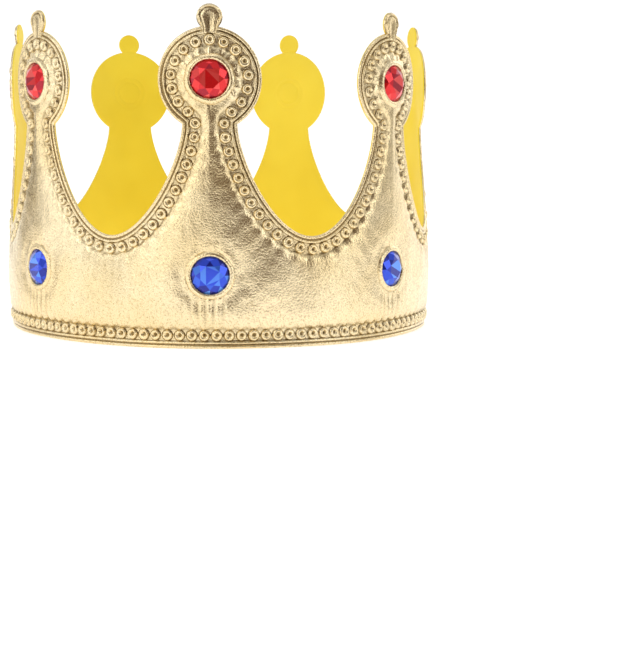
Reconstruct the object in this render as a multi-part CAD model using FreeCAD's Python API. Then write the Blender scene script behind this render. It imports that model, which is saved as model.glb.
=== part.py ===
import FreeCAD, Part
import math
import os
from collections import namedtuple
from FreeCAD import Base

# A padded foil crown: one flat cut strip of seven points, bent into a ring.
# The strip is drawn flat, with s along the band and z upwards, and each half
# of a point is wrapped onto its own cylinder. Lengths are in millimetres.

# The strip
point_pitch = 84.6
valley_height = 45.2
stem_half_width = 10.9
disc_radius = 20.7
disc_height = 107.7
ball_radius = 5.17
neck_half_width = 3.5
stem_reach = 15.1
stem_lean = 0.05
valley_reach = 16.1

# The bend of each half point in degrees, going out from the front point
front_heading = -1.17
right_bend_degrees = [22.3, 30.2, 22.2, 33.4, 28.3, 17.8, 13.8]
left_bend_degrees = [29.5, 22.4, 25.4, 18.6, 23.6]
closing_bend_degrees = [47.5, 25.1]

# The two layers and the padded field
lining_thickness = 0.6
cover_thickness = 0.8
pad_rise = 1.6
pad_slope = 1.8
border_width = 7.4
border_pull = 0.8

# The gems and their seats
gem_radius = 7.6
gem_height = 3.0
gem_girdle = 0.9
gem_table_radius = 4.1
gem_star_radius = 5.9
gem_sides = 8
gem_seat_gap = 0.15
gem_seat_depth = 1.2
red_gem_height = disc_height
blue_gem_height = 29.9

# The closure at the back: a flat tab with hook tape under an end with loop tape
tab_length = 27.0
tab_margin = 3.0
tape_length = 20.0
tape_height = 28.0
tape_thickness = 0.8
tape_clearance = 0.05
tape_end_margin = 4.0

half = point_pitch / 2.0
corner_height = disc_height - math.sqrt(disc_radius ** 2 - stem_half_width ** 2)
neck_rise = math.sqrt(disc_radius ** 2 - neck_half_width ** 2)
neck_height = disc_height + neck_rise
ball_height = neck_height + math.sqrt(ball_radius ** 2 - neck_half_width ** 2)
lap = lining_thickness + cover_thickness + 2.0 * tape_thickness + tape_clearance

# A half point: the plan position and heading of its point's centre line, the
# radius it is bent to, and +1 for the half towards the right or -1 for the left
Panel = namedtuple("Panel", "x y heading radius side name")


def step(state, length, bend):
    # Walk along an arc of this length and bend, both signed
    x, y, heading = state
    radius = length / bend
    turned = heading + bend
    x += radius * (math.sin(turned) - math.sin(heading))
    y -= radius * (math.cos(turned) - math.cos(heading))
    return (x, y, turned)


def walk_right():
    # The half points from the front round to the outer end of the strip
    state = (0.0, 0.0, math.radians(front_heading))
    panels = []
    for number, degrees in enumerate(right_bend_degrees):
        bend = math.radians(degrees)
        reached = step(state, half, bend)
        at_centre = number % 2 == 0
        x, y, heading = state if at_centre else reached
        side = 1 if at_centre else -1
        panels.append(Panel(x, y, heading, half / bend, side, "right_%d" % number))
        state = reached
    return panels, state


def walk_left(bends):
    # The half points from the front round to the inner end of the strip
    state = (0.0, 0.0, math.radians(front_heading))
    panels = []
    for number, degrees in enumerate(bends):
        bend = math.radians(degrees)
        reached = step(state, -half, -bend)
        at_centre = number % 2 == 0
        x, y, heading = state if at_centre else reached
        side = -1 if at_centre else 1
        panels.append(Panel(x, y, heading, half / bend, side, "left_%d" % number))
        state = reached
    return panels, state


def closing_error(bends, centre, radius):
    # How far the inner end misses the circle that runs under the outer end
    panels, state = walk_left(left_bend_degrees + bends)
    x, y, heading = state
    away_x = x - centre[0]
    away_y = y - centre[1]
    distance = math.hypot(away_x, away_y)
    tangent = (math.cos(heading) * away_x + math.sin(heading) * away_y) / distance
    return (distance - radius, tangent * radius)


def solve_closing(centre, radius):
    # The last two bends, by Newton steps, so that the inner end lies under the outer
    first, second = closing_bend_degrees
    nudge = 0.001
    for round_number in range(12):
        miss = closing_error([first, second], centre, radius)
        with_first = closing_error([first + nudge, second], centre, radius)
        with_second = closing_error([first, second + nudge], centre, radius)
        a = (with_first[0] - miss[0]) / nudge
        b = (with_second[0] - miss[0]) / nudge
        c = (with_first[1] - miss[1]) / nudge
        d = (with_second[1] - miss[1]) / nudge
        determinant = a * d - b * c
        first -= (d * miss[0] - b * miss[1]) / determinant
        second -= (a * miss[1] - c * miss[0]) / determinant
    return [first, second]


def arc_poles(centre_z, radius, start, end):
    # A round stretch about (0, centre_z) as equal cubic curves, angles from +s
    pieces = max(1, int(math.ceil(abs(end - start) / math.radians(50.0))))
    turn = (end - start) / pieces
    handle = 4.0 / 3.0 * math.tan(turn / 4.0) * radius
    curves = []
    for number in range(pieces):
        a = start + turn * number
        b = a + turn
        p0 = (radius * math.cos(a), centre_z + radius * math.sin(a))
        p3 = (radius * math.cos(b), centre_z + radius * math.sin(b))
        p1 = (p0[0] - handle * math.sin(a), p0[1] + handle * math.cos(a))
        p2 = (p3[0] + handle * math.sin(b), p3[1] - handle * math.cos(b))
        curves.append([p0, p1, p2, p3])
    return curves


def base_loop():
    # The flat outline of half a point, counter-clockwise, with its finial ball
    corner = (stem_half_width, corner_height)
    valley = (half, valley_height)
    flank = [valley,
             (half - valley_reach, valley_height),
             (stem_half_width + stem_lean * stem_reach, corner_height - stem_reach),
             corner]
    corner_angle = math.atan2(corner_height - disc_height, stem_half_width)
    neck_angle = math.atan2(neck_rise, neck_half_width)
    ball_start = math.atan2(neck_height - ball_height, neck_half_width)
    loop = [[(0.0, 0.0), (half, 0.0)], [(half, 0.0), valley], flank]
    loop += arc_poles(disc_height, disc_radius, corner_angle, neck_angle)
    loop += arc_poles(ball_height, ball_radius, ball_start, math.pi / 2.0)
    loop.append([(0.0, ball_height + ball_radius), (0.0, 0.0)])
    return loop


def field_loop(inset, at_end):
    # The padded field of half a point, this far inside the outline; at an end
    # of the strip the field stops short of the edge too
    right = half - inset if at_end else half
    radius = disc_radius - inset
    corner_s = stem_half_width - border_pull * inset
    corner_z = disc_height - math.sqrt(radius ** 2 - corner_s ** 2)
    top = valley_height - inset
    reach = stem_reach - inset
    lean = inset / stem_half_width
    flank = [(right, top),
             (right - valley_reach - inset * (0.0 if at_end else 1.0), top),
             (corner_s + lean * reach, corner_z - reach),
             (corner_s, corner_z)]
    corner_angle = math.atan2(corner_z - disc_height, corner_s)
    loop = [[(0.0, inset), (right, inset)], [(right, inset), (right, top)], flank]
    loop += arc_poles(disc_height, radius, corner_angle, math.pi / 2.0)
    loop.append([(0.0, disc_height + radius), (0.0, inset)])
    return loop


def box_loop(s_low, s_high, z_low, z_high):
    corners = [(s_low, z_low), (s_high, z_low), (s_high, z_high), (s_low, z_high)]
    return [[corners[i], corners[(i + 1) % 4]] for i in range(4)]


def turned_over(loop):
    # The same loop for a left half, still counter-clockwise
    return [[(-s, z) for s, z in reversed(poles)] for poles in reversed(loop)]


def wrapped_wire(surface, radius, loop):
    edges = []
    for poles in loop:
        flat = [Base.Vector2d(s / radius, z) for s, z in poles]
        if len(flat) == 2:
            edges.append(Part.Geom2d.Line2dSegment(flat[0], flat[1]).toShape(surface))
        else:
            curve = Part.Geom2d.BezierCurve2d()
            curve.setPoles(flat)
            edges.append(curve.toShape(surface))
    return Part.Wire(edges)


def wall(low, high, poles):
    # A straight wall between two edges, a true plane where its flat poles are level
    ruled = Part.makeRuledSurface(low, high)
    level = poles[0][1]
    if any(z != level for s, z in poles):
        return ruled
    plane = Part.Plane(Base.Vector(0, 0, level), Base.Vector(0, 0, 1))
    return Part.Face(plane, ruled.OuterWire)


def wrapped_solid(radius, inner_loop, inner_depth, outer_loop, outer_depth):
    # A layer between two depths, with straight walls from loop to loop
    faces = []
    wires = []
    for loop, depth in ((inner_loop, inner_depth), (outer_loop, outer_depth)):
        surface = Part.Cylinder()
        surface.Radius = radius + depth
        wire = wrapped_wire(surface, radius, loop)
        wires.append(wire)
        faces.append(Part.Face(surface, wire))
    ends = zip(wires[0].Edges, wires[1].Edges, inner_loop, outer_loop)
    for low, high, inner_poles, outer_poles in ends:
        faces.append(wall(low, high, inner_poles + outer_poles))
    shell = Part.makeShell(faces)
    shell.sewShape()
    solid = Part.makeSolid(shell)
    if solid.Volume < 0.0:
        solid.reverse()
    return solid


def place(solid, panel):
    # From the cylinder's own frame to the panel's place in the ring
    outward = panel.heading - math.pi / 2.0
    centre_x = panel.x - panel.radius * math.cos(outward)
    centre_y = panel.y - panel.radius * math.sin(outward)
    turn = Base.Rotation(Base.Vector(0, 0, 1), math.degrees(outward))
    placed = solid.copy()
    placed.Placement = Base.Placement(Base.Vector(centre_x, centre_y, 0), turn)
    return placed


def layer(panel, inner_loop, inner_depth, outer_loop, outer_depth):
    if panel.side < 0:
        inner_loop = turned_over(inner_loop)
        outer_loop = turned_over(outer_loop)
    flat = wrapped_solid(panel.radius, inner_loop, inner_depth, outer_loop, outer_depth)
    return place(flat, panel)


def fused(solids):
    return solids[0].multiFuse(solids[1:]).removeSplitter()


def point_frame(panel, height, depth):
    # A place on a point's centre line: X to the right, Y upwards and Z outwards
    along = Base.Vector(math.cos(panel.heading), math.sin(panel.heading), 0)
    upwards = Base.Vector(0, 0, 1)
    outward = along.cross(upwards)
    origin = Base.Vector(panel.x, panel.y, height) + outward * depth
    return Base.Placement(origin, Base.Rotation(along, upwards, outward, "ZXY"))


def ring_points(radius, height, offset, count):
    # Corners evenly spaced round a circle
    angles = [offset + 2.0 * math.pi * i / count for i in range(count)]
    return [Base.Vector(radius * math.cos(a), radius * math.sin(a), height) for a in angles]


def gem_prism(radius, length):
    # A prism with the outline of a gem's girdle, from z = 0
    corners = ring_points(radius, 0.0, 0.0, 2 * gem_sides)
    face = Part.Face(Part.makePolygon(corners + corners[:1]))
    return face.extrude(Base.Vector(0, 0, length))


def set_on(shape, placement):
    placed = shape.copy()
    placed.Placement = placement
    return placed


def gem(radius):
    # A flat-backed cut stone on z = 0: table, star facets, kites and girdle
    turn = 2.0 * math.pi / gem_sides
    kite_slope = (gem_height - gem_girdle) / (radius - gem_table_radius)
    star_x = gem_star_radius * math.cos(turn / 2.0)
    star_height = gem_height - (star_x - gem_table_radius) * kite_slope
    count = 2 * gem_sides
    table = ring_points(gem_table_radius, gem_height, turn / 2.0, gem_sides)
    star = ring_points(gem_star_radius, star_height, turn, gem_sides)
    girdle = ring_points(radius, gem_girdle, 0.0, count)
    back = ring_points(radius, 0.0, 0.0, count)
    outlines = [table, list(reversed(back))]
    for i in range(gem_sides):
        kite = 2 * i + 1
        outlines.append([table[i], star[i], table[(i + 1) % gem_sides]])
        outlines.append([table[i], star[i - 1], girdle[kite], star[i]])
        outlines.append([star[i], girdle[kite], girdle[(kite + 1) % count]])
        outlines.append([star[i], girdle[(kite + 1) % count], girdle[(kite + 2) % count]])
    for i in range(count):
        after = (i + 1) % count
        outlines.append([back[i], back[after], girdle[after], girdle[i]])
    faces = [Part.Face(Part.makePolygon(outline + outline[:1])) for outline in outlines]
    shell = Part.makeShell(faces)
    shell.sewShape()
    solid = Part.makeSolid(shell)
    if solid.Volume < 0.0:
        solid.reverse()
    return solid


def build_layers(panels, ends, tab):
    # The gold cover with its padded field, and the yellow lining behind it
    base = base_loop()
    cover = []
    lining = []
    for panel in panels:
        at_end = panel.name in ends
        foot = field_loop(border_width, at_end)
        crown = field_loop(border_width + pad_slope, at_end)
        cover.append(layer(panel, base, 0.0, base, cover_thickness))
        cover.append(layer(panel, foot, cover_thickness, crown, cover_thickness + pad_rise))
        lining.append(layer(panel, base, -lining_thickness, base, 0.0))
    flap = box_loop(-tab_length, 0.0, tab_margin, valley_height - tab_margin)
    flap_solid = wrapped_solid(tab.radius, flap, 0.0, flap, cover_thickness)
    cover.append(place(flap_solid, tab))
    flap_lining = wrapped_solid(tab.radius, flap, -lining_thickness, flap, 0.0)
    lining.append(place(flap_lining, tab))
    return fused(cover), fused(lining)


def build_seats(centres):
    # The pockets in the cover that the gems sit in
    depth = cover_thickness + pad_rise - gem_seat_depth
    pocket = gem_prism(gem_radius + gem_seat_gap, 2.0 * gem_height)
    heights = (red_gem_height, blue_gem_height)
    return [set_on(pocket, point_frame(c, z, depth)) for c in centres for z in heights]


def build_gems(centres, height, name, nodes):
    depth = cover_thickness + pad_rise - gem_seat_depth
    stone = gem(gem_radius)
    for number, centre in enumerate(centres):
        nodes["%s_%d" % (name, number + 1)] = set_on(stone, point_frame(centre, height, depth))


def build_tapes(outer_end, tab, nodes):
    # Loop tape inside the outer end and hook tape on the tab that lies under it
    low = (valley_height - tape_height) / 2.0
    high = low + tape_height
    loop_box = box_loop(half - tape_end_margin - tape_length, half - tape_end_margin, low, high)
    inner = -lining_thickness - tape_thickness
    nodes["loop_tape"] = layer(outer_end, loop_box, inner, loop_box, -lining_thickness)
    hook_box = box_loop(-tape_end_margin - tape_length, -tape_end_margin, low, high)
    outer = cover_thickness + tape_thickness
    hook = wrapped_solid(tab.radius, hook_box, cover_thickness, hook_box, outer)
    nodes["hook_tape"] = place(hook, tab)


def main():
    right, right_end = walk_right()
    outer_end = right[-1]
    outward = right_end[2] - math.pi / 2.0
    centre = (right_end[0] - outer_end.radius * math.cos(outward),
              right_end[1] - outer_end.radius * math.sin(outward))
    tab_radius = outer_end.radius - lap
    left, left_end = walk_left(left_bend_degrees + solve_closing(centre, tab_radius))
    tab = Panel(left_end[0], left_end[1], left_end[2], tab_radius, -1, "tab")
    panels = right + left
    centres = left[6::-2][:-1] + right[0::2]

    nodes = {}
    cover, lining = build_layers(panels, (right[-1].name, left[-1].name), tab)
    nodes["gold_cover"] = cover.cut(build_seats(centres))
    nodes["yellow_lining"] = lining
    build_gems(centres, red_gem_height, "red_gem", nodes)
    build_gems(centres, blue_gem_height, "blue_gem", nodes)
    build_tapes(outer_end, tab, nodes)

    box = Base.BoundBox()
    for shape in nodes.values():
        box.add(shape.BoundBox)
    to_centre = Base.Vector(-box.Center.x, -box.Center.y, -box.ZMin)
    os.makedirs("parts", exist_ok=True)
    for name, shape in nodes.items():
        shape.translate(to_centre)
        if len(shape.Solids) != 1:
            print("solids in", name, len(shape.Solids))
        shape.Solids[0].exportStep("parts/" + name + ".step")
        print(name, "valid", shape.isValid(), "volume", round(shape.Volume, 1))
    print("moved to the centre by", to_centre, "size", box.XLength, box.YLength, box.ZLength)


main()
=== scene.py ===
import math
import bpy
import bmesh
import numpy as np
from mathutils import Matrix, Vector


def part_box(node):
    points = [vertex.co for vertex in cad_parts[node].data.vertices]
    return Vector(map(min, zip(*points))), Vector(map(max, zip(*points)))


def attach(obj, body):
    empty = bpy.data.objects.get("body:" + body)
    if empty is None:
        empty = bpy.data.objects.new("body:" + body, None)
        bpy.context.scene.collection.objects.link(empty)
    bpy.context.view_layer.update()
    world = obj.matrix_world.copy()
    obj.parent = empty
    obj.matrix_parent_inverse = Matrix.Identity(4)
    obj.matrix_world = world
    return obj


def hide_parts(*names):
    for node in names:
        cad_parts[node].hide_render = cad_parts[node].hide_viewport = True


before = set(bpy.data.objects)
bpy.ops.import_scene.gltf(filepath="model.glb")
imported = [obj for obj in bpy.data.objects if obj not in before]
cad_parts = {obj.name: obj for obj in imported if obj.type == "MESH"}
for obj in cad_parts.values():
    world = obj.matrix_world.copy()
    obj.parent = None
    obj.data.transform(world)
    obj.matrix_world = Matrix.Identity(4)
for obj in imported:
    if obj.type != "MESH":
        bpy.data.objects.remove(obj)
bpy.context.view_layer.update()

mm = 0.001  # the flat pattern is worked out in millimetres
weld = {"together": 2e-6, "empty": 1e-7}  # metres within which places and edges close up

# The bend of the strip: two arcs for each point, going out from the front one
ring = {
    "pitch": 84.6,
    "points": 7,
    "frontHeading": -1.17,
    "rightBends": [22.3, 30.2, 22.2, 33.4, 28.3, 17.8, 13.8],
    "leftBends": [29.5, 22.4, 25.4, 18.6, 23.6, 47.56583, 25.02592],
    "lap": 3.05,  # how far the inner end runs below the outer one
    "tabLength": 27.0,
    "tabMargin": 3.0,
    "gemDepth": 2.7,  # middle of a gem's thickness
}

# The flat outline of one point
point = {
    "valleyHeight": 45.2,
    "stemHalf": 10.9,
    "discRadius": 20.7,
    "discHeight": 107.7,
    "ballRadius": 5.17,
    "neckHalf": 3.5,
    "stemReach": 15.1,
    "stemLean": 0.05,
    "valleyReach": 16.1,
}

half = ring["pitch"] / 2.0
cornerDrop = math.sqrt(point["discRadius"] ** 2 - point["stemHalf"] ** 2)
cornerHeight = point["discHeight"] - cornerDrop
neckRise = math.sqrt(point["discRadius"] ** 2 - point["neckHalf"] ** 2)
neckHeight = point["discHeight"] + neckRise
ballDrop = math.sqrt(point["ballRadius"] ** 2 - point["neckHalf"] ** 2)
ballHeight = neckHeight + ballDrop
redHeight = point["discHeight"]
blueHeight = 29.9


def walkArc(state, length, bend):
    # Along an arc from (x, y, heading): the place and heading where it ends
    x, y, heading = state
    radius = length / bend
    turned = heading + bend
    return (x + radius * (math.sin(turned) - math.sin(heading)),
            y - radius * (math.cos(turned) - math.cos(heading)), turned)


def ringArcs():
    # The place, heading and curvature at the start of every arc along the strip
    front = (0.0, 0.0, math.radians(ring["frontHeading"]))
    arcs = []
    state = front
    for bend in ring["leftBends"]:
        turn = math.radians(bend)
        state = walkArc(state, -half, -turn)
        arcs.insert(0, (state[0], state[1], state[2], turn / half))
    innerEnd = state
    state = front
    for bend in ring["rightBends"]:
        turn = math.radians(bend)
        arcs.append((state[0], state[1], state[2], turn / half))
        state = walkArc(state, half, turn)
    tabRadius = half / math.radians(ring["rightBends"][-1]) - ring["lap"]
    tab = walkArc(innerEnd, -ring["tabLength"], -ring["tabLength"] / tabRadius)
    arcs.insert(0, (tab[0], tab[1], tab[2], 1.0 / tabRadius))
    return np.array(arcs)


arcTable = ringArcs()
endS = ring["points"] * half
arcStarts = np.concatenate([[-endS - ring["tabLength"]], np.arange(-ring["points"], ring["points"]) * half])
gemLow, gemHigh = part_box("red_gem_4")
frontHeading = math.radians(ring["frontHeading"])
frontX = (gemLow.x + gemHigh.x) / 2.0 / mm - ring["gemDepth"] * math.sin(frontHeading)
frontY = (gemLow.y + gemHigh.y) / 2.0 / mm + ring["gemDepth"] * math.cos(frontHeading)


def onRing(s, z, depth):
    # Flat to round: with a the heading and k the curvature where an arc starts, the
    # heading at s is a + k ds, the plan is the arc's start plus the chord to there,
    # and depth goes out along (sin, -cos) of the heading
    s, z, depth = np.broadcast_arrays(s, z, depth)
    index = np.clip(np.searchsorted(arcStarts, s, side="right") - 1, 0, len(arcTable) - 1)
    x0, y0, a, k = np.moveaxis(arcTable[index], -1, 0)
    heading = a + k * (s - arcStarts[index])
    x = x0 + (np.sin(heading) - np.sin(a)) / k + depth * np.sin(heading) + frontX
    y = y0 - (np.cos(heading) - np.cos(a)) / k - depth * np.cos(heading) + frontY
    return np.stack([x, y, z], axis=-1) * mm


class Net:
    # Collects grids of places and their faces, to make one mesh of them
    def __init__(self):
        self.places = []
        self.shades = []
        self.faces = []
        self.count = 0

    def grid(self, places, closed=False, flipped=False, shade=0.0):
        # Rows by columns of places, with the painted shade of each; closed joins the
        # last column to the first
        rows, columns = places.shape[:2]
        index = self.count + np.arange(rows * columns).reshape(rows, columns)
        if closed:
            index = np.concatenate([index, index[:, :1]], axis=1)
        quads = np.stack([index[:-1, :-1], index[:-1, 1:], index[1:, 1:], index[1:, :-1]], axis=-1)
        quads = quads.reshape(-1, 4)
        self.faces += (quads[:, ::-1] if flipped else quads).tolist()
        self.places.append(places.reshape(-1, 3))
        self.shades.append(np.broadcast_to(shade, (rows, columns)).reshape(-1))
        self.count += rows * columns

    def lay(self, flat, depth, centreS, **how):
        # A flat grid of (s, z) about s = centreS, bent onto the ring
        self.grid(onRing(flat[..., 0] + centreS, flat[..., 1], depth), **how)

    def wall(self, line, depth, centreS, flipped=False):
        # From a line of (s, z) at its depth to the face where the sheets meet
        depths = np.stack([np.broadcast_to(depth, len(line)), np.zeros(len(line))])
        self.lay(line[None], depths, centreS, flipped=flipped)

    def mesh(self, name, sharpAngle=None):
        data = bpy.data.meshes.new(name)
        data.from_pydata(np.concatenate(self.places).tolist(), [], self.faces)
        # Painted shade of each place, kept on the mesh so the gold foil's colour darkens by it
        shade = data.attributes.new("shade", "FLOAT", "POINT")
        shade.data.foreach_set("value", np.concatenate(self.shades).astype(np.float32))
        made = bmesh.new()
        made.from_mesh(data)
        bmesh.ops.remove_doubles(made, verts=made.verts, dist=weld["together"])
        bmesh.ops.dissolve_degenerate(made, edges=made.edges, dist=weld["empty"])
        made.to_mesh(data)
        made.free()
        data.polygons.foreach_set("use_smooth", [True] * len(data.polygons))
        if sharpAngle is not None:
            data.set_sharp_from_angle(angle=math.radians(sharpAngle))
        return data


def addPiece(name, data, material, nodes=()):
    # An object in place that rides on the crown's one body
    made = bpy.data.objects.new(name, data)
    bpy.context.scene.collection.objects.link(made)
    data.materials.append(material)
    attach(made, "root")
    if nodes:
        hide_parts(*nodes)
    return made


def walked(path):
    # Distance gone along a path at each of its places
    return np.concatenate([[0.0], np.cumsum(np.linalg.norm(np.diff(path, axis=0), axis=1))])


def along(path, marks):
    # Places on a path at stated distances along it
    gone = walked(path)
    return np.stack([np.interp(marks, gone, path[:, i]) for i in (0, 1)], axis=-1)


# How finely a point is divided
cells = {
    "flank": 56,
    "curve": 600,
    "disc": 56,
    "neck": 12,
    "acrossStem": 10,
    "ball": 12,
    "tab": 12,
    "bandTop": 33.0,
    "gemRing": 9.7,
    "waistReach": 4.0,  # how far above the disc's corner the waist may lie
    "endReach": 10.5,  # how far from an end the border's insets set the columns
    "smoothings": 10,
}

# Rows of the cover, of the lining and of the flat face where the two meet
divisions = {
    "cover": {
        "insets": [0.0, 0.3, 0.8, 1.2, 1.45, 1.75, 2.0, 2.3, 2.8, 3.05, 3.5, 4.2, 5.4, 6.4, 7.0, 7.4, 7.8,
                   8.4, 9.2],
        "lowRows": [0.0, 0.3, 0.8, 1.2, 1.45, 1.75, 2.0, 2.3, 2.8, 3.05, 3.5, 4.4, 5.5, 6.6, 7.2, 7.8, 8.5],
        "bandRows": 34,
        "stemRows": 18,
        "discSpread": [1.0, 0.86, 0.72, 0.58, 0.44, 0.3, 0.15, 0.0],
        "gemRadii": [9.0, 8.0, 4.0],
    },
    "lining": {
        "insets": [0.0, 0.3, 0.8, 2.6, 5.4, 9.2],
        "lowRows": [0.0, 0.3, 0.8, 3.0, 6.0],
        "bandRows": 10,
        "stemRows": 12,
        "discSpread": [1.0, 0.66, 0.33, 0.0],
        "gemRadii": [8.6, 8.2, 7.8, 7.4, 6.8, 6.2, 5.7, 5.3, 4.9, 4.2, 2.0],
    },
    "meeting": {
        "insets": [0.0, 9.2],
        "lowRows": [0.0],
        "bandRows": 2,
        "stemRows": 2,
        "discSpread": [1.0, 0.0],
        "gemRadii": [],
    },
}


def halfPath(atEnd):
    # The outline of a right half from the top of the disc to the valley: a round
    # stretch across the neck, one round the disc, then the flank's cubic curve
    neckAngle = math.atan2(neckRise, point["neckHalf"])
    cornerAngle = -math.atan2(cornerDrop, point["stemHalf"])
    angles = np.concatenate([np.linspace(math.pi / 2.0, neckAngle, cells["neck"] + 1),
                             np.linspace(neckAngle, cornerAngle, cells["disc"] + 1)[1:]])
    disc = np.stack([point["discRadius"] * np.cos(angles),
                     point["discHeight"] + point["discRadius"] * np.sin(angles)], axis=-1)
    stemHalf, reach = point["stemHalf"], point["stemReach"]
    poles = np.array([[stemHalf, cornerHeight],
                      [stemHalf + point["stemLean"] * reach, cornerHeight - reach],
                      [half - point["valleyReach"], point["valleyHeight"]],
                      [half, point["valleyHeight"]]])
    t = np.linspace(0.0, 1.0, cells["curve"])[:, None]
    curve = ((1 - t) ** 3 * poles[0] + 3 * (1 - t) ** 2 * t * poles[1]
             + 3 * (1 - t) * t ** 2 * poles[2] + t ** 3 * poles[3])
    length = walked(curve)[-1]
    marks = np.linspace(0.0, length, cells["flank"] + 1)
    if atEnd:
        marks = marks[marks < length - cells["endReach"]]
        marks = np.concatenate([marks, length - np.array(divisions["cover"]["insets"])[::-1]])
    flank = along(curve, marks)
    flank[-1] = poles[3]
    return np.concatenate([disc, flank[1:]])


def inwardNormals(path):
    # Unit normals to the right of the way along, smoothed so that corners fan out
    back = path[:1] + (path[:1] - path[1:2]) * (1.0, -1.0)
    onward = path[-1:] + (path[-1:] - path[-2:-1]) * (1.0, -1.0)
    padded = np.concatenate([back, path, onward])
    away = padded[2:] - padded[:-2]
    away /= np.linalg.norm(away, axis=1)[:, None]
    normals = np.stack([away[:, 1], -away[:, 0]], axis=-1)
    for _ in range(cells["smoothings"]):
        mirrored = np.concatenate([normals[1:2] * (-1.0, 1.0), normals, normals[-2:-1] * (-1.0, 1.0)])
        normals = (mirrored[:-2] + 2.0 * mirrored[1:-1] + mirrored[2:]) / 4.0
        normals /= np.linalg.norm(normals, axis=1)[:, None]
    return normals


def distanceTo(places, path):
    # Least distance from each place to a path, and how far along its corners that is
    starts = path[:-1]
    steps = path[1:] - path[:-1]
    lengths = np.maximum((steps ** 2).sum(axis=1), 1e-12)
    away = places[:, None, :] - starts[None]
    part = np.clip((away * steps).sum(axis=-1) / lengths, 0.0, 1.0)
    distance = np.linalg.norm(away - part[..., None] * steps, axis=-1)
    nearest = distance.argmin(axis=1)
    rows = np.arange(len(places))
    return distance[rows, nearest], nearest + part[rows, nearest]


def insideLine(places, inner, phase, lastInset):
    # Inset and phase of a grid of places within the edge strip's inner line
    distance, index = distanceTo(places.reshape(-1, 2), inner)
    shape = places.shape[:2]
    return ((lastInset + distance).reshape(shape),
            np.interp(index, np.arange(len(phase)), phase).reshape(shape))


class Pattern:
    # The flat grids of one point: a strip along its outline, the band with the stem,
    # the middle of the disc and the finial ball. Each is rows by columns of (s, z),
    # with the inset from the outline and the bead row's phase at every place
    def __init__(self, split, leftEnd, rightEnd):
        left = halfPath(leftEnd)[::-1] * (-1.0, 1.0)
        path = np.concatenate([left, halfPath(rightEnd)[1:]])
        top = len(left) - 1
        self.neck = slice(top - cells["neck"], top + cells["neck"] + 1)
        normals = inwardNormals(path)
        beadLine = path + normals * beads["inset"]
        gone = walked(beadLine)
        beadCount = 2 * int(round(gone[-1] / beads["pitch"] / 2.0))
        self.beadPlaces = along(beadLine, gone[-1] * np.arange(beadCount) / beadCount)
        phase = 2.0 * math.pi * beadCount * gone / gone[-1]
        insets = np.array(split["insets"])
        self.edge = path[None] + insets[:, None, None] * normals[None]
        self.edgeInset = np.repeat(insets[:, None], len(path), axis=1)
        self.edgePhase = np.repeat(phase[None], len(insets), axis=0)
        inner = self.edge[-1]

        # The waist is where the inner line comes nearest the middle below the disc
        order = np.arange(len(inner))
        belowDisc = inner[:, 1] <= cornerHeight + cells["waistReach"]
        leftSide = np.where(belowDisc & (order < self.neck.start), inner[:, 0], -np.inf)
        rightSide = np.where(belowDisc & (order >= self.neck.stop - 1), inner[:, 0], np.inf)
        waistLeft, waistRight = int(leftSide.argmax()), int(rightSide.argmin())
        across = np.linspace(inner[waistLeft], inner[waistRight], cells["acrossStem"] + 1)[1:-1]
        line = np.concatenate([inner[:waistLeft + 1], across, inner[waistRight:]])
        low = np.array(split["lowRows"])
        band = np.linspace(low[-1], cells["bandTop"], split["bandRows"] + 1)[1:]
        fixed = np.repeat(np.concatenate([low, band])[:, None], len(line), axis=1)
        share = np.linspace(0.0, 1.0, split["stemRows"] + 1)[1:, None]
        heights = np.concatenate([fixed, cells["bandTop"] + share * (line[:, 1] - cells["bandTop"])])
        self.body = np.stack([np.repeat(line[None, :, 0], len(heights), axis=0), heights], axis=-1)
        self.bodyInset, self.bodyPhase = insideLine(self.body, inner, phase, insets[-1])

        centre = np.array([0.0, point["discHeight"]])
        loop = np.concatenate([inner[waistLeft:waistRight + 1], across[::-1]])
        rays = loop - centre
        reach = np.linalg.norm(rays, axis=1)
        radii = [cells["gemRing"] + share * (reach - cells["gemRing"]) for share in split["discSpread"]]
        radii += [np.full(len(loop), radius) for radius in split["gemRadii"]] + [np.zeros(len(loop))]
        self.disc = np.stack([centre + rays * (radius / reach)[:, None] for radius in radii])
        self.discInset, self.discPhase = insideLine(self.disc, inner, phase, insets[-1])

        neckLine = path[self.neck]
        start = math.atan2(-ballDrop, point["neckHalf"])
        angles = np.linspace(math.pi - start, start, len(neckLine))
        outer = np.stack([point["ballRadius"] * np.cos(angles),
                          ballHeight + point["ballRadius"] * np.sin(angles)], axis=-1)
        share = np.linspace(0.0, 1.0, cells["ball"] + 1)[:, None, None]
        self.ball = neckLine + share * (outer - neckLine)

    def endLine(self, column):
        # The strip's end from the bottom up, where the first or last column is cut
        return np.concatenate([self.body[:, column], self.edge[::-1, column][1:]])


patterns = {}


def patternFor(kind, ends):
    # Points with the same ends share their flat grids
    if (kind, ends) not in patterns:
        patterns[kind, ends] = Pattern(divisions[kind], *ends)
    return patterns[kind, ends]


def pointsAlong():
    # For each point along the strip: s at its middle, and at which ends it lies
    last = ring["points"] - 1
    for number in range(ring["points"]):
        yield (number - last / 2.0) * ring["pitch"], (number == 0, number == last)


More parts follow.
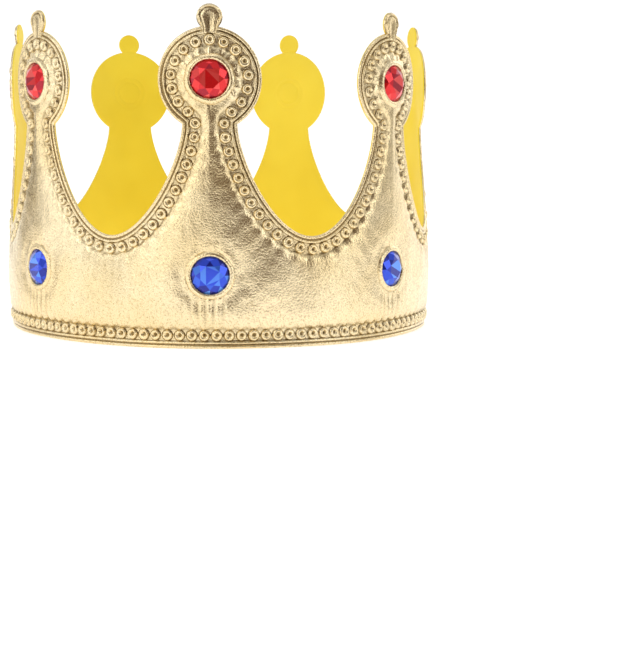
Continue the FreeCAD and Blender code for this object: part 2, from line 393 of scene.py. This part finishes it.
# Pressed studs of the border
beads = {
    "inset": 5.4,
    "pitch": 5.6,
    "lowHeight": 5.4,
    "lowCount": 17,
    "endCount": 8,
    "clearance": 4.0,  # how far the rows stop before the one at the outer end
    "radius": 2.4,
    "base": 0.5,
    "height": 1.3,
    "sectors": 12,
    "section": [(1.07, 0.0), (0.99, 0.06), (0.9, 0.6), (0.78, 0.92), (0.62, 1.0), (0.44, 0.82), (0.29, 0.5),
                (0.15, 0.12), (0.0, 0.05)],
    # Painted shade round the section: a dark outline at each stud's foot and a dark pit at its middle
    "shades": [0.6, 1.0, 0.2, 0.0, 0.0, 0.0, 0.15, 0.9, 1.0],
    "lean": 0.1,
    "radiusSpread": (0.94, 1.05),
    "heightSpread": (0.88, 1.08),
    "tilt": 0.08,
}

# Section of the cover from its edge inwards: edge line, groove, ridge, bead channel, pad
relief = {
    "thickness": 0.8,
    "rim": [(0.0, 0.45), (0.3, 0.9), (0.8, 1.0), (1.2, 0.85), (1.45, 0.4), (1.75, 0.38), (2.0, 0.95),
            (2.3, 1.2), (2.8, 1.1), (3.05, 0.6), (3.5, 0.5), (4.2, 0.5)],
    # Painted shade down the rim's section, darkest in its groove and along the line by the beads
    "rimPaintedShade": [(0.0, 0.3), (0.3, 0.0), (1.2, 0.1), (1.45, 1.0), (1.75, 0.8), (2.0, 0.0), (2.3, 0.0),
                 (2.8, 0.1), (3.05, 0.85), (3.5, 0.2), (4.2, 0.0)],
    "foot": 7.35,
    "lowMargin": 0.3,
    "scallop": 0.5,
    "padRise": 2.2,
    "padStep": 1.3,
    "padSwell": 8.0,
    "stepShare": 0.55,
    "gather": 0.12,
    "gatherReach": 3.0,
    "wave": 0.14,
    "crinkle": 0.05,
    "underGem": 1.15,
    "gemBed": [8.3, 9.6],
    "blueDip": (12.0, 2.6, 0.4),  # radius, width and depth
    "redDip": (11.0, 1.8, 0.2),
}

# Folds of the foil: the height and spacing of each kind, and how far it reaches
folds = {
    "bend": {"size": 0.9, "across": 0.37, "up": 0.11},
    "valley": {"height": 0.42, "spacing": 3.7, "reach": 15.0, "fade": 5.5},
    "gem": {"height": 0.42, "spacing": 3.3, "reach": 7.0, "middle": 15.5},
    "ray": {"height": 0.12, "count": 17.0, "sway": 2.0, "swayCount": 3.0, "ring": 11.0, "reach": 2.0},
    "stem": {"height": 0.1, "spacing": 9.5, "sway": 3.0, "swayRate": 0.21, "middle": 72.0, "reach": 18.0},
}

# Painted shade on the foil at the pad's foot and in the folds
shadePainting = {
    "padClear": 3.0,
    "topFoot": 0.8,
    "lowFoot": 0.7,
    "footWidth": 0.5,
    "footInset": 4.0,
    "fold": 0.5,
}

rng = np.random.default_rng(7)


def waveSet(count, shortest, longest):
    # Directions, wavelengths and phases for soft random undulation
    angle = rng.uniform(0.0, math.pi, count)
    length = rng.uniform(shortest, longest, count)
    return np.cos(angle) / length, np.sin(angle) / length, rng.uniform(0.0, 1.0, count)


softWaves = waveSet(9, 14.0, 27.0)
fineWaves = waveSet(14, 3.6, 8.0)


def undulation(s, z, waves):
    # Sum of sines of (s, z), each in its own direction, over the root of their number
    total = np.zeros(np.shape(s))
    for across, up, start in zip(*waves):
        total += np.sin(2.0 * math.pi * (s * across + z * up + start))
    return total / math.sqrt(len(waves[0]))


def bell(distance, width):
    # e to the minus (distance / width) squared
    return np.exp(-(distance / width) ** 2)


def fading(distance, reach):
    # 1 up to distance 0, then e to the minus distance / reach
    return np.exp(-np.maximum(distance, 0.0) / reach)


def swell(distance):
    # 0 at the foot of the pad, a quick step up, then a slow swell towards 1
    share = relief["stepShare"]
    return (1.0 - share * fading(distance, relief["padStep"])
            - (1.0 - share) * fading(distance, relief["padSwell"]))


def pleats(across, spacing, bend):
    # Pleats that run up the foil: the cosine of one turn for each spacing, plus a bend
    return np.cos(2.0 * math.pi * across / spacing + bend)


def coverDepth(flat, inset, phase, centreS):
    # Height of the foil over its back and its painted shade: the rim's section by the
    # least inset, plus a pad that swells from the outline, the bottom and both ends;
    # then gathers at the beads, pleats below the valleys and the gems, and wrinkles
    s, z = flat[..., 0], flat[..., 1]
    allS = s + centreS
    fromOuter = endS - allS
    fromInner = endS + allS
    edge = np.minimum(np.minimum(inset, z), fromOuter)
    foot, scallop = relief["foot"], relief["scallop"]
    lowPhase = 2.0 * math.pi * beads["lowCount"] * (s + half) / ring["pitch"]
    fromTop = inset - foot + scallop * np.cos(phase)
    fromLow = z - foot - relief["lowMargin"] + scallop * np.cos(lowPhase)
    rise = swell(fromTop) * swell(fromLow) * swell(fromOuter - foot) * swell(fromInner - foot)
    gather = relief["gather"] * (np.cos(phase) * fading(fromTop, relief["gatherReach"])
                                 + np.cos(lowPhase) * fading(fromLow, relief["gatherReach"]))

    valley, gem, ray, stem = folds["valley"], folds["gem"], folds["ray"], folds["stem"]
    bend = folds["bend"]["size"] * np.sin(allS * folds["bend"]["across"] + z * folds["bend"]["up"])
    fromValley = half - np.abs(s)
    valleyPleat = (pleats(fromValley, valley["spacing"], bend) * bell(fromValley, valley["reach"])
                   * fading(fromTop, valley["fade"]))
    gemPleat = (pleats(s, gem["spacing"], bend) * bell(s, gem["reach"])
                * bell(z - gem["middle"], gem["reach"]))
    blue = np.hypot(s, z - blueHeight)
    red = np.hypot(s, z - redHeight)
    around = np.arctan2(s, z - redHeight)
    rays = (np.cos(ray["count"] * around + ray["sway"] * np.sin(ray["swayCount"] * around + allS))
            * bell(red - ray["ring"], ray["reach"]))
    sway = stem["sway"] * np.sin(allS * stem["swayRate"])
    stemFold = np.sin(2.0 * math.pi * z / stem["spacing"] + sway) * bell(z - stem["middle"], stem["reach"])
    surface = (relief["padRise"] + gather + valley["height"] * valleyPleat + gem["height"] * gemPleat
               + ray["height"] * rays + stem["height"] * stemFold
               + relief["wave"] * undulation(allS, z, softWaves)
               + relief["crinkle"] * undulation(allS, z, fineWaves))
    for distance, (radius, width, fall) in ((blue, relief["blueDip"]), (red, relief["redDip"])):
        surface = surface - fall * bell(distance - radius, width)
    depth = np.interp(edge, *np.array(relief["rim"]).T) + rise * surface
    nearGem = np.interp(np.minimum(blue, red), relief["gemBed"], [1.0, 0.0])
    depth = depth - nearGem * np.maximum(depth - relief["underGem"], 0.0)

    # Painted shade: dark in the rim's grooves, at the pad's foot along the bead rows, and in the troughs of
    # the pleats and rays
    shade = np.interp(edge, *np.array(relief["rimPaintedShade"]).T)
    shade = shade * (1.0 - np.clip(rise * shadePainting["padClear"], 0.0, 1.0))
    for distance, dark in ((fromTop, shadePainting["topFoot"]), (fromLow, shadePainting["lowFoot"])):
        atFoot = bell(distance, shadePainting["footWidth"]) * (edge > shadePainting["footInset"])
        shade = np.maximum(shade, dark * atFoot)
    foldPaintedShade = sum(np.maximum(-fold, 0.0) for fold in (valleyPleat, gemPleat, rays))
    return depth, np.clip(shade + shadePainting["fold"] * rise * foldPaintedShade, 0.0, 1.0)


# Section of the finial from its outline inwards, how its dish runs down the neck,
# and where its section fades into the disc's border
finial = {
    "marks": [0.0, 0.3, 0.7, 1.0, 1.35, 1.75, 2.4, 3.2, 5.2],
    "depths": [0.45, 1.1, 1.4, 1.2, 0.7, 0.95, 1.3, 1.1, 0.75],
    # Painted shade along the ring's outlines, in its inner groove and in the dish
    "shades": [0.5, 0.0, 0.0, 0.2, 1.0, 0.35, 0.0, 0.2, 0.5],
    "dishLength": 6.0,
    "dishTaper": 0.9,
    "neckShare": 4.0,
    "neckInsets": [1.9, 2.6],
}


def ballDepth(places):
    # The finial's raised ring with a drop-shaped dish that runs down the neck, and
    # the painted shade of each place
    s, rise = places[..., 0], places[..., 1] - ballHeight
    down = np.clip(-rise / finial["dishLength"], 0.0, 1.0)
    reach = np.where(rise < 0.0, np.abs(s) * (1.0 + finial["dishTaper"] * down), np.hypot(s, rise))
    out = point["ballRadius"] - reach
    return (np.interp(out, finial["marks"], finial["depths"]),
            np.interp(out, finial["marks"], finial["shades"]))


# The foil drawn up round a gem: radius and depth round the lip
lip = {
    "section": [(7.3, 2.1), (7.65, 2.75), (8.1, 3.1), (8.6, 3.1), (9.1, 2.9), (9.7, 2.4), (10.1, 1.9),
                (9.0, 1.2), (7.5, 1.2)],
    "sectors": 40,
    "wavers": [(0.12, 5.0), (0.1, 9.0), (0.06, 14.0)],  # size, and waves round the gem
    "waverFrom": 1,  # places of the section between which the waver grows
    "waverTo": 5,
    "phases": 6.3,
    # Painted shade: dark where the lip meets the gem, and a little on its outer slope
    "shade": [(7.3, 1.0), (7.8, 0.0), (9.4, 0.0), (10.2, 0.3)],
}


def gemLip(net, centreS, height):
    # Its section carried round a circle, with a little random waver
    turns = np.linspace(0.0, 2.0 * math.pi, lip["sectors"], endpoint=False)
    starts = rng.uniform(0.0, lip["phases"], len(lip["wavers"]))
    waver = sum(size * np.sin(count * turns + start)
                for (size, count), start in zip(lip["wavers"], starts))
    radii, depths = np.array(lip["section"] + lip["section"][:1]).T[..., None]
    grown = np.interp(np.arange(len(lip["section"])), [lip["waverFrom"], lip["waverTo"]], [0.0, 1.0])
    radii = radii + np.append(grown, 0.0)[:, None] * waver
    shades = np.interp(radii, *np.array(lip["shade"]).T)
    places = onRing(radii * np.cos(turns) + centreS, radii * np.sin(turns) + height, depths)
    net.grid(places, closed=True, shade=shades)


def meetingFace(net, ends, centreS, outwards):
    # The flat face where cover and lining meet; outwards, it faces away from the head
    flat = patternFor("meeting", ends)
    for grid, closed, turned in ((flat.edge, False, True), (flat.body, False, False), (flat.disc, True, True),
                                 (flat.ball[[0, -1]], False, False)):
        net.lay(grid, 0.0, centreS, closed=closed, flipped=turned == outwards)


def tabBox(net, inner, outer):
    # The tab below the lap, bent with the ring: its four-sided section carried along
    # s, and caps
    sLow, sHigh = -endS - ring["tabLength"], -endS
    low, high = ring["tabMargin"], point["valleyHeight"] - ring["tabMargin"]
    z = np.array([low, high, high, low, low])[:, None]
    depth = np.array([outer, outer, inner, inner, outer])[:, None]
    net.grid(onRing(np.linspace(sLow, sHigh, cells["tab"] + 1)[None], z, depth), flipped=True)
    z = np.array([[low, high], [low, high]])
    depth = np.array([[inner, inner], [outer, outer]])
    for place, turned in ((sLow, True), (sHigh, False)):
        net.grid(onRing(place, z, depth), flipped=turned)


def coverNet():
    # The whole gold cover: fronts, walls down to the back, backs and gem lips
    net = Net()
    across = np.linspace(-1.0, 1.0, 2 * cells["neck"] + 1)
    onNeck = np.clip((1.0 - np.abs(across)) * finial["neckShare"], 0.0, 1.0)
    for centreS, ends in pointsAlong():
        front = patternFor("cover", ends)
        neck = front.neck
        edgeDepth, edgePaintedShade = coverDepth(front.edge, front.edgeInset, front.edgePhase, centreS)
        ball, ballPaintedShade = ballDepth(front.ball)
        fade = onNeck[None] * np.interp(front.edgeInset[:, neck], finial["neckInsets"], [1.0, 0.0])
        edgeDepth[:, neck] += fade * (ball[:1] - edgeDepth[:, neck])
        edgePaintedShade[:, neck] += fade * (ballPaintedShade[:1] - edgePaintedShade[:, neck])
        ball[0] = edgeDepth[0, neck]
        net.lay(front.edge, edgeDepth, centreS, flipped=True, shade=edgePaintedShade)
        bodyDepth, bodyPaintedShade = coverDepth(front.body, front.bodyInset, front.bodyPhase, centreS)
        net.lay(front.body, bodyDepth, centreS, shade=bodyPaintedShade)
        discDepth, discPaintedShade = coverDepth(front.disc, front.discInset, front.discPhase, centreS)
        net.lay(front.disc, discDepth, centreS, closed=True, flipped=True, shade=discPaintedShade)
        net.lay(front.ball, ball, centreS, shade=ballPaintedShade)

        for stretch in (slice(0, neck.start + 1), slice(neck.stop - 1, None)):
            net.wall(front.edge[0, stretch], edgeDepth[0, stretch], centreS)
        net.wall(front.ball[-1], ball[-1], centreS)
        net.wall(front.body[0], bodyDepth[0], centreS, flipped=True)
        for atEnd, column, turned in ((ends[0], 0, False), (ends[1], -1, True)):
            if atEnd:
                depths = np.concatenate([bodyDepth[:, column], edgeDepth[::-1, column][1:]])
                net.wall(front.endLine(column), depths, centreS, flipped=turned)
        meetingFace(net, ends, centreS, False)
        for height in (redHeight, blueHeight):
            gemLip(net, centreS, height)
    tabBox(net, 0.0, relief["thickness"])
    return net


# The lining's edge, rounded by its inset, and the faint rings pressed behind each
# disc gem, each with its radius, width and height
sheet = {
    "thickness": 0.6,
    "insets": [0.0, 0.3, 0.8],
    "depths": [-0.4, -0.55, -0.6],
    "pressed": [(5.3, 0.35, 0.22), (7.8, 0.4, 0.16)],
    "evenEdge": 3.0,
    "wave": 0.16,
    "waveRate": 1.2,
    "sink": 0.12,
}


def liningDepth(flat, inset, centreS):
    # The lining's inner face: rounded at its edges, with soft unevenness and two
    # faint pressed rings behind each disc gem
    s, z = flat[..., 0], flat[..., 1]
    allS = s + centreS
    edge = np.minimum(np.minimum(inset, z), np.minimum(endS - allS, endS + allS))
    red = np.hypot(s, z - redHeight)
    marks = sum(rise * bell(red - radius, width) for radius, width, rise in sheet["pressed"])
    soft = sheet["wave"] * undulation(allS * sheet["waveRate"], z, softWaves) - sheet["sink"]
    inside = np.clip(edge / sheet["evenEdge"], 0.0, 1.0)
    return np.interp(edge, sheet["insets"], sheet["depths"]) + inside * (soft + marks)


def liningNet():
    # The lining: its inner face with the edges, and its front against the cover
    net = Net()
    rim = sheet["depths"][0]
    for centreS, ends in pointsAlong():
        inner = patternFor("lining", ends)
        for flat, inset, closed, turned in ((inner.edge, inner.edgeInset, False, False),
                                            (inner.body, inner.bodyInset, False, True),
                                            (inner.disc, inner.discInset, True, False)):
            net.lay(flat, liningDepth(flat, inset, centreS), centreS, closed=closed, flipped=turned)
        out = point["ballRadius"] - np.hypot(inner.ball[..., 0], inner.ball[..., 1] - ballHeight)
        ball = np.interp(out, sheet["insets"], sheet["depths"])
        ball[0] = liningDepth(inner.ball[0], 0.0, centreS)
        net.lay(inner.ball, ball, centreS, flipped=True)
        neck = inner.neck
        for line in (inner.edge[0, :neck.start + 1], inner.ball[-1], inner.edge[0, neck.stop - 1:]):
            net.wall(line, rim, centreS, flipped=True)
        net.wall(inner.body[0], rim, centreS)
        for atEnd, column, turned in ((ends[0], 0, True), (ends[1], -1, False)):
            if atEnd:
                net.wall(inner.endLine(column), rim, centreS, flipped=turned)
        meetingFace(net, ends, centreS, True)
    tabBox(net, -sheet["thickness"], 0.0)
    return net


def beadNet():
    # One small mesh: rings of the stud's section about its centre, on every place of
    # the rows along the outline, the bottom and the outer end
    pattern = patternFor("cover", (False, False))
    endRow = endS - beads["inset"]
    places = []
    for centreS, ends in pointsAlong():
        first = 1 if ends[0] else 0
        places.append(pattern.beadPlaces[first:] + (centreS, 0.0))
        low = centreS - half + ring["pitch"] * np.arange(first, beads["lowCount"]) / beads["lowCount"]
        places.append(np.stack([low, np.full(len(low), beads["lowHeight"])], axis=-1))
    up = np.linspace(beads["lowHeight"], point["valleyHeight"] - beads["inset"], beads["endCount"])
    places.append(np.stack([np.full(len(up), endRow), up], axis=-1))
    places = np.concatenate(places)
    places = places[(places[:, 0] < endRow - beads["clearance"]) | (places[:, 0] == endRow)]
    turns = np.linspace(0.0, 2.0 * math.pi, beads["sectors"], endpoint=False)
    radii, heights = np.array(beads["section"]).T[..., None]
    shades = np.array(beads["shades"])[:, None]
    net = Net()
    for s, z in places:
        size = beads["radius"] * rng.uniform(*beads["radiusSpread"])
        tall = beads["height"] * rng.uniform(*beads["heightSpread"])
        around = turns + rng.uniform(0.0, 1.0)
        tilt = rng.uniform(-beads["tilt"], beads["tilt"], 2)
        off = beads["lean"] * (1.0 - radii) * size
        ds = radii * np.cos(around) * size + off
        dz = radii * np.sin(around) * size + off
        depth = beads["base"] + heights * (tall + tilt[0] * ds + tilt[1] * dz)
        net.grid(onRing(s + ds, z + dz, depth), closed=True, shade=shades)
    return net, len(places)


class Value:
    # A shader socket that can be used in Python arithmetic
    def __init__(self, graph, socket):
        self.graph = graph
        self.socket = socket

    def __add__(self, other):
        return self.graph.arithmetic("ADD", self, other)

    def __sub__(self, other):
        return self.graph.arithmetic("SUBTRACT", self, other)

    def __rsub__(self, other):
        return self.graph.arithmetic("SUBTRACT", other, self)

    def __mul__(self, other):
        return self.graph.arithmetic("MULTIPLY", self, other)

    def __truediv__(self, other):
        return self.graph.arithmetic("DIVIDE", self, other)

    def __pow__(self, other):
        return self.graph.arithmetic("POWER", self, other)

    __radd__ = __add__
    __rmul__ = __mul__


class Graph:
    # The nodes of one material, ending in its Principled shader
    def __init__(self, name):
        self.material = bpy.data.materials.new(name)
        self.material.use_nodes = True
        self.tree = self.material.node_tree
        self.shader = self.tree.nodes["Principled BSDF"]

    def node(self, kind, settings, inputs, output=0):
        made = self.tree.nodes.new(kind)
        for key, value in settings.items():
            setattr(made, key, value)
        for key, value in inputs.items():
            self.feed(made.inputs[key], value)
        return Value(self, made.outputs[output])

    def feed(self, target, value):
        if isinstance(value, Value):
            self.tree.links.new(value.socket, target)
        else:
            target.default_value = value

    def arithmetic(self, operation, first, second):
        return self.node("ShaderNodeMath", {"operation": operation}, {0: first, 1: second})

    def ramp(self, value, low, high):
        # 0 below low and 1 above high, with a soft step between
        return self.node("ShaderNodeMapRange", {"interpolation_type": "SMOOTHSTEP"},
                         {"Value": value, "From Min": low, "From Max": high})

    def mix(self, share, first, second):
        return self.node("ShaderNodeMix", {"data_type": "RGBA"}, {0: share, 6: first, 7: second}, 2)

    def objectPlace(self):
        return self.node("ShaderNodeTexCoord", {}, {}, "Object")

    def noise(self, place, scale, detail=2.0, roughness=0.5):
        return self.node("ShaderNodeTexNoise", {},
                         {"Vector": place, "Scale": scale, "Detail": detail, "Roughness": roughness})

    def bump(self, height, strength, distance, normal=None):
        inputs = {"Height": height, "Strength": strength, "Distance": distance}
        if normal is not None:
            inputs["Normal"] = normal
        return self.node("ShaderNodeBump", {}, inputs)

    def finish(self, **sockets):
        for key, value in sockets.items():
            self.feed(self.shader.inputs[key.replace("_", " ")], value)
        return self.material


def goldMaterial():
    # Champagne-gold foil with a sandy grain under 1 mm, and painted shade where it is pressed in and folded
    g = Graph("gold foil")
    place = g.objectPlace()
    shade = g.node("ShaderNodeAttribute", {"attribute_name": "shade"}, {}, "Fac")
    grain = g.noise(place, 1300.0, 2.0, 0.6)
    broad = g.noise(place, 30.0, 2.0, 0.5)
    colour = g.mix(g.ramp(broad, 0.35, 0.65), (0.90, 0.72, 0.41, 1.0), (0.94, 0.79, 0.51, 1.0))
    colour = g.mix(g.ramp(grain, 0.5, 0.68) * 0.5, colour, (0.50, 0.36, 0.15, 1.0))
    # Painted shade: the mesh's painted shade mixes the foil towards deep brown in grooves, pits, outlines and
    # folds
    colour = g.mix(shade * 0.85, colour, (0.16, 0.10, 0.03, 1.0))
    rough = 0.2 + g.ramp(grain, 0.3, 0.7) * 0.1
    normal = g.bump(grain, 0.8, 0.00022)
    return g.finish(Base_Color=colour, Metallic=1.0, Roughness=rough, Normal=normal)


def liningMaterial():
    # Matt yellow lining with a slight sheen and a fine weave-like grain
    g = Graph("yellow lining")
    place = g.objectPlace()
    grain = g.noise(place, 1900.0, 2.0, 0.6)
    broad = g.noise(place, 30.0, 2.0, 0.5)
    colour = g.mix(g.ramp(broad, 0.3, 0.7), (0.90, 0.69, 0.03, 1.0), (0.96, 0.76, 0.045, 1.0))
    normal = g.bump(grain, 0.35, 0.00015)
    normal = g.bump(broad, 0.4, 0.0012, normal)
    return g.finish(Base_Color=colour, Roughness=0.55, Sheen_Weight=0.15, Sheen_Roughness=0.4, Normal=normal)


def gemMaterial(name, dark, main, paintedGlint):
    # Cut plastic with a mirrored back: each facet takes its own tint from the way it
    # faces, painted shade and painted glints for the light it refracts, under a clear glossy coat
    g = Graph(name)
    facing = g.node("ShaderNodeNewGeometry", {}, {}, "True Normal")
    spread = g.node("ShaderNodeVectorMath", {"operation": "SCALE"}, {0: facing, "Scale": 5.9})
    step = g.node("ShaderNodeVectorMath", {"operation": "SNAP"}, {0: spread, 1: (0.7, 0.7, 0.7)})
    cell = g.node("ShaderNodeTexWhiteNoise", {"noise_dimensions": "3D"}, {"Vector": step})
    # Painted light: facets picked at random by their facing are shaded dark or lit bright
    colour = g.mix(g.ramp(cell, 0.05, 0.55), dark, main)
    colour = g.mix(g.ramp(cell, 0.55, 0.98), colour, paintedGlint)
    return g.finish(Base_Color=colour, Metallic=0.5, Roughness=0.12, Coat_Weight=0.35, Coat_Roughness=0.04)


def tapeMaterial(name, colour, scale):
    # Woven tape with hooks or loops standing off it
    g = Graph(name)
    place = g.objectPlace()
    pile = g.node("ShaderNodeTexVoronoi", {}, {"Vector": place, "Scale": scale})
    tint = g.mix(g.ramp(pile, 0.1, 0.6), colour, tuple(0.55 * c for c in colour[:3]) + (1.0,))
    return g.finish(Base_Color=tint, Roughness=0.8, Normal=g.bump(pile, 0.7, 0.0004))


# Degrees between faces past which an edge is sharp
sharp = {"cover": 55.0, "lining": 60.0, "beads": 70.0}

gold = goldMaterial()
yellow = liningMaterial()
cover = addPiece("gold_cover_foil", coverNet().mesh("gold_cover_foil", sharp["cover"]), gold,
                 ("gold_cover",))
print("cover", len(cover.data.polygons))
lining = addPiece("yellow_lining_sheet", liningNet().mesh("yellow_lining_sheet", sharp["lining"]), yellow,
                  ("yellow_lining",))
print("lining", len(lining.data.polygons))
beadGrids, beadTotal = beadNet()
studs = addPiece("border_beads", beadGrids.mesh("border_beads", sharp["beads"]), gold)
print("beads", beadTotal, len(studs.data.polygons))

redGem = gemMaterial("red gem", (0.40, 0.003, 0.02, 1.0), (0.80, 0.010, 0.014, 1.0), (0.98, 0.10, 0.09, 1.0))
blueGem = gemMaterial("blue gem", (0.012, 0.02, 0.30, 1.0), (0.02, 0.07, 0.72, 1.0), (0.10, 0.30, 0.98, 1.0))
hookTape = tapeMaterial("hook tape", (0.75, 0.75, 0.72, 1.0), 900.0)
loopTape = tapeMaterial("loop tape", (0.80, 0.80, 0.77, 1.0), 600.0)
looks = {"red_gem": redGem, "blue_gem": blueGem, "hook_tape": hookTape, "loop_tape": loopTape}
for name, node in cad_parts.items():
    for start, material in looks.items():
        if name.startswith(start):
            node.data.materials.clear()
            node.data.materials.append(material)

# Place and aim of the camera, found from the photo
lens = {
    "place": (0.003867, -0.683579, 0.083628),
    "yaw": 0.0638,
    "pitch": -0.1263,
    "roll": 0.0061,
    "focal": 80.79,
    "sensor": 36.0,
}


def addCamera():
    # Columns of its turn are right, up and backwards, after the roll
    data = bpy.data.cameras.new("camera")
    data.sensor_fit = "VERTICAL"
    data.sensor_height = lens["sensor"]
    data.lens = lens["focal"]
    data.clip_start = 0.01
    data.clip_end = 50.0
    made = bpy.data.objects.new("camera", data)
    bpy.context.scene.collection.objects.link(made)
    yaw, pitch, roll = lens["yaw"], lens["pitch"], lens["roll"]
    forward = Vector((math.sin(yaw) * math.cos(pitch), math.cos(yaw) * math.cos(pitch), math.sin(pitch)))
    level = forward.cross(Vector((0.0, 0.0, 1.0))).normalized()
    up = level.cross(forward)
    right = level * math.cos(roll) + up * math.sin(roll)
    top = up * math.cos(roll) - level * math.sin(roll)
    turn = Matrix((right, top, -forward)).transposed().to_4x4()
    made.matrix_world = Matrix.Translation(lens["place"]) @ turn
    bpy.context.scene.camera = made


# The pale floor and the wall it sweeps up into, in metres
sweep = {"near": -6.0, "bendAt": 4.0, "radius": 2.0, "top": 7.0, "halfWidth": 8.0}


def addBackdrop():
    # A straight run, a quarter circle, then straight up
    turns = np.linspace(0.0, math.pi / 2.0, 17)
    bendAt, radius = sweep["bendAt"], sweep["radius"]
    y = np.concatenate([[sweep["near"]], bendAt + radius * np.sin(turns), [bendAt + radius]])
    z = np.concatenate([[0.0], radius - radius * np.cos(turns), [sweep["top"]]])
    x = np.linspace(-sweep["halfWidth"], sweep["halfWidth"], 5)
    places = np.stack(np.broadcast_arrays(x[None], y[:, None], z[:, None]), axis=-1)
    net = Net()
    net.grid(places)
    g = Graph("backdrop")
    made = bpy.data.objects.new("backdrop", net.mesh("backdrop"))
    made.data.materials.append(g.finish(Base_Color=(0.9, 0.9, 0.9, 1.0), Roughness=0.9,
                                        Emission_Color=(1.0, 1.0, 1.0, 1.0), Emission_Strength=0.5))
    bpy.context.scene.collection.objects.link(made)


# Dark cards the foil mirrors: the bearings they span from the front point, and how
# high each stands
cards = [(-12.0, 46.0, 1.6), (70.0, 96.0, 0.14), (-134.0, -104.0, 0.14)]


def addDarkCards():
    # Each lies on the floor from 0.5 m out and stands up in an arc at 1.8 m; the
    # camera doesn't see them
    net = Net()
    radii = np.array([0.5, 1.15, 1.8, 1.8, 1.8])[:, None]
    for low, high, top in cards:
        heights = np.array([0.002, 0.002, 0.002, top / 2.0, top])[:, None]
        turns = np.radians(np.linspace(low, high, 13))[None]
        places = np.broadcast_arrays(radii * np.sin(turns), -radii * np.cos(turns), heights)
        net.grid(np.stack(places, axis=-1))
    g = Graph("dark card")
    made = bpy.data.objects.new("dark_cards", net.mesh("dark_cards"))
    made.data.materials.append(g.finish(Base_Color=(0.16, 0.11, 0.07, 1.0), Roughness=0.8))
    made.visible_camera = False
    bpy.context.scene.collection.objects.link(made)


# Soft boxes: place, aim, width, height, power in watts and colour
lights = {
    "key": ((-1.05, -1.34, 0.8), (0.0, 0.0, 0.06), 1.0, 1.2, 5.6, (1.0, 0.98, 0.95)),
    "side": ((1.44, -0.9, 0.7), (0.0, 0.0, 0.06), 0.5, 1.2, 3.2, (1.0, 1.0, 1.0)),
    "rearRight": ((1.4, 0.9, 0.8), (0.0, 0.0, 0.06), 1.0, 1.2, 4.0, (1.0, 1.0, 1.0)),
    "left": ((-1.6, -0.15, 0.7), (0.0, 0.0, 0.06), 0.8, 1.2, 3.2, (1.0, 1.0, 1.0)),
    "top": ((0.0, -0.2, 1.7), (0.0, 0.0, 0.06), 1.2, 1.0, 3.6, (1.0, 1.0, 1.0)),
}


worldStrength = 0.55


def addLights():
    # The soft boxes, each turned to its aim, and an even white world
    for name, (place, aim, width, height, power, colour) in lights.items():
        data = bpy.data.lights.new(name, "AREA")
        data.shape = "RECTANGLE"
        data.size = width
        data.size_y = height
        data.energy = power
        data.color = colour
        made = bpy.data.objects.new(name, data)
        made.location = place
        made.rotation_mode = "QUATERNION"
        made.rotation_quaternion = (Vector(aim) - Vector(place)).to_track_quat("-Z", "Y")
        bpy.context.scene.collection.objects.link(made)
    world = bpy.data.worlds.new("studio")
    world.use_nodes = True
    inputs = world.node_tree.nodes["Background"].inputs
    inputs["Color"].default_value = (1.0, 1.0, 1.0, 1.0)
    inputs["Strength"].default_value = worldStrength
    bpy.context.scene.world = world


addCamera()
addBackdrop()
addDarkCards()
addLights()
bpy.context.scene.view_settings.view_transform = "Standard"
print("stage set")
